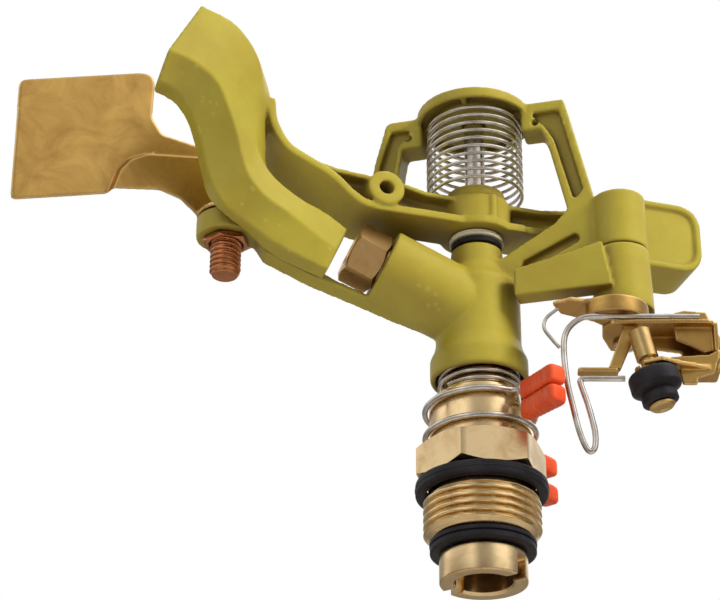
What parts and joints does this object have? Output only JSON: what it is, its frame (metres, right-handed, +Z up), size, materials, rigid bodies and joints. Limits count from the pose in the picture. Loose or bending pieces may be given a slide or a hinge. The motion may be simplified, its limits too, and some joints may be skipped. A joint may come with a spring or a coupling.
{
  "type": "sector sprinkler",
  "caption": "Part-circle impact sprinkler with a spring-loaded swinging arm, a rising jet barrel, a deflector plate, a trip and two adjustable stop clips on a threaded inlet.",
  "frame": {"origin": "on the axis that the head turns on, where the inlet hex meets its gasket", "axes": "+Z up along the turning axis, the arm lies along X at rest and the water leaves towards -X, rising"},
  "size_m": [0.1639, 0.0521, 0.1274],
  "materials": {
    "brass": "machined, bright",
    "sheet_brass": "rolled sheet, dull",
    "copper": "reddish, bright",
    "steel": "bright drawn wire and pins",
    "paint": "olive yellow paint on die castings, satin",
    "rubber": "black, matt",
    "pale_plastic": "off-white, satin",
    "red_plastic": "orange red, moulded"
  },
  "bodies": {
    "base": {"inlet_nipple": "brass", "inlet_gasket": "rubber"},
    "turret": {"turning_tube": "brass", "seal_washer": "rubber", "pressure_spring": "steel", "head_casting": "paint", "nozzle": "brass", "arm_pin": "steel", "thrust_seal": "rubber", "thrust_washer": "pale_plastic", "arm_spring": "steel", "deflector_screw": "copper", "deflector_nut": "copper", "trip_pin": "steel"},
    "arm": {"impact_arm": "paint", "arm_bush": "pale_plastic"},
    "deflector_plate": {"deflector": "sheet_brass"},
    "trip_feeler": {"trip_bracket": "sheet_brass", "bumper_post": "brass", "trip_bumper": "rubber", "trip_wire": "steel", "toggle_spring": "steel"},
    "trip_toggle": {"trip_lever": "paint", "trip_plate": "sheet_brass"},
    "near_clip": {"near_stop_clip": "steel", "near_tab_lower": "red_plastic", "near_tab_upper": "red_plastic"},
    "far_clip": {"far_stop_clip": "steel", "far_tab_lower": "red_plastic", "far_tab_upper": "red_plastic"}
  },
  "joints": [
    {"name": "turret_turn", "type": "hinge", "parent": "base", "child": "turret", "pos_m": [0, 0, 0], "axis": [0, 0, 1], "range_deg": [-3.5, 82]},
    {"name": "arm_swing", "type": "hinge", "parent": "turret", "child": "arm", "pos_m": [0, 0, 0.0624], "axis": [0, 0, 1], "range_deg": [0, 80], "stiffness_Nm_per_rad": 0.03, "springref_deg": -34.38, "deforming": ["arm_spring"]},
    {"name": "deflector_swivel", "type": "hinge", "parent": "turret", "child": "deflector_plate", "pos_m": [-0.0591, 0.0064, 0.0612], "axis": [0, 0, 1], "range_deg": [-25, 12]},
    {"name": "trip_feeler_swing", "type": "hinge", "parent": "turret", "child": "trip_feeler", "pos_m": [0.02883, -0.01802, 0.032], "axis": [0, 0, 1], "range_deg": [-16, 0], "deforming": ["toggle_spring"]},
    {"name": "trip_lever_swing", "type": "hinge", "parent": "turret", "child": "trip_toggle", "pos_m": [0.02883, -0.01802, 0.038], "axis": [0, 0, 1], "range_deg": [0, 14]},
    {"name": "near_clip_turn", "type": "hinge", "parent": "base", "child": "near_clip", "pos_m": [0, 0, 0.017], "axis": [0, 0, 1], "range_deg": [-100, 0]},
    {"name": "far_clip_turn", "type": "hinge", "parent": "base", "child": "far_clip", "pos_m": [0, 0, 0.011], "axis": [0, 0, 1], "range_deg": [0, 100]}
  ],
  "couplings": [
    {"joint": "trip_lever_swing", "follows": "trip_feeler_swing", "ratio": -0.875}
  ]
}
